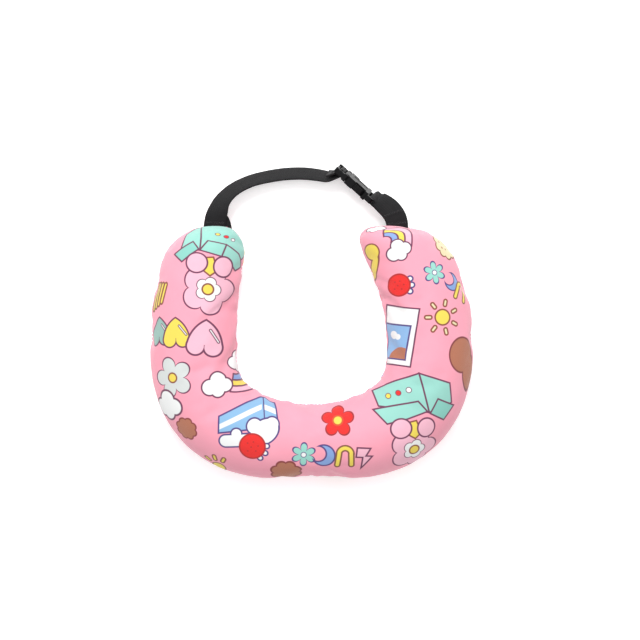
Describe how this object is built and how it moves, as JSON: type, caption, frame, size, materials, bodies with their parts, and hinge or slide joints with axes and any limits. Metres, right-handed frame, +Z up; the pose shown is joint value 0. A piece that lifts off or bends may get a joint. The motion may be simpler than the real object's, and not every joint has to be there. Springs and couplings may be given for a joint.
{
  "type": "u shaped neck pillow",
  "caption": "U-shaped stuffed travel neck pillow for a child, closed in front by a black webbing strap with a side-release buckle.",
  "frame": {"origin": "centre of the bounding box's bottom face; the pillow lies flat on z = 0", "axes": "+Z up through the thickness, +Y toward the open end of the U and its strap, +X toward the arm that carries the buckle's socket"},
  "size_m": [0.2932, 0.2872, 0.0681],
  "materials": {
    "fibre": "matte",
    "printed_fabric": "short smooth pile with a printed pattern",
    "pink_thread": "matte",
    "black_webbing": "woven, slightly glossy",
    "black_thread": "matte",
    "buckle_plastic": "satin, fine mould texture"
  },
  "bodies": {
    "pillow": {"fibre_fill": "fibre", "cover_bottom": "printed_fabric", "cover_top": "printed_fabric", "seam_thread": "pink_thread", "closing_stitch": "pink_thread", "strap_long": "black_webbing", "strap_short": "black_webbing", "tack_left": "black_thread", "tack_right": "black_thread", "tack_loop": "black_thread", "socket": "buckle_plastic"},
    "plug": {"plug": "buckle_plastic", "tack_tail": "black_thread"},
    "latch_upper": {"latch_upper": "buckle_plastic"},
    "latch_lower": {"latch_lower": "buckle_plastic"}
  },
  "joints": [
    {"name": "buckle_pull", "type": "slide", "parent": "pillow", "child": "plug", "axis": [-0.7349, 0.6782, 0], "range_m": [0, 0.026], "deforming": ["strap_long", "latch_upper", "latch_lower"]},
    {"name": "squeeze_upper", "type": "hinge", "parent": "plug", "child": "latch_upper", "pos_m": [0.03062, 0.13001, 0.02342], "axis": [0.6608, 0.7161, 0.225], "range_deg": [0, 11], "stiffness_Nm_per_rad": 0.02},
    {"name": "squeeze_lower", "type": "hinge", "parent": "plug", "child": "latch_lower", "pos_m": [0.03355, 0.13318, 0.00471], "axis": [-0.6608, -0.7161, -0.225], "range_deg": [0, 11], "stiffness_Nm_per_rad": 0.02}
  ]
}
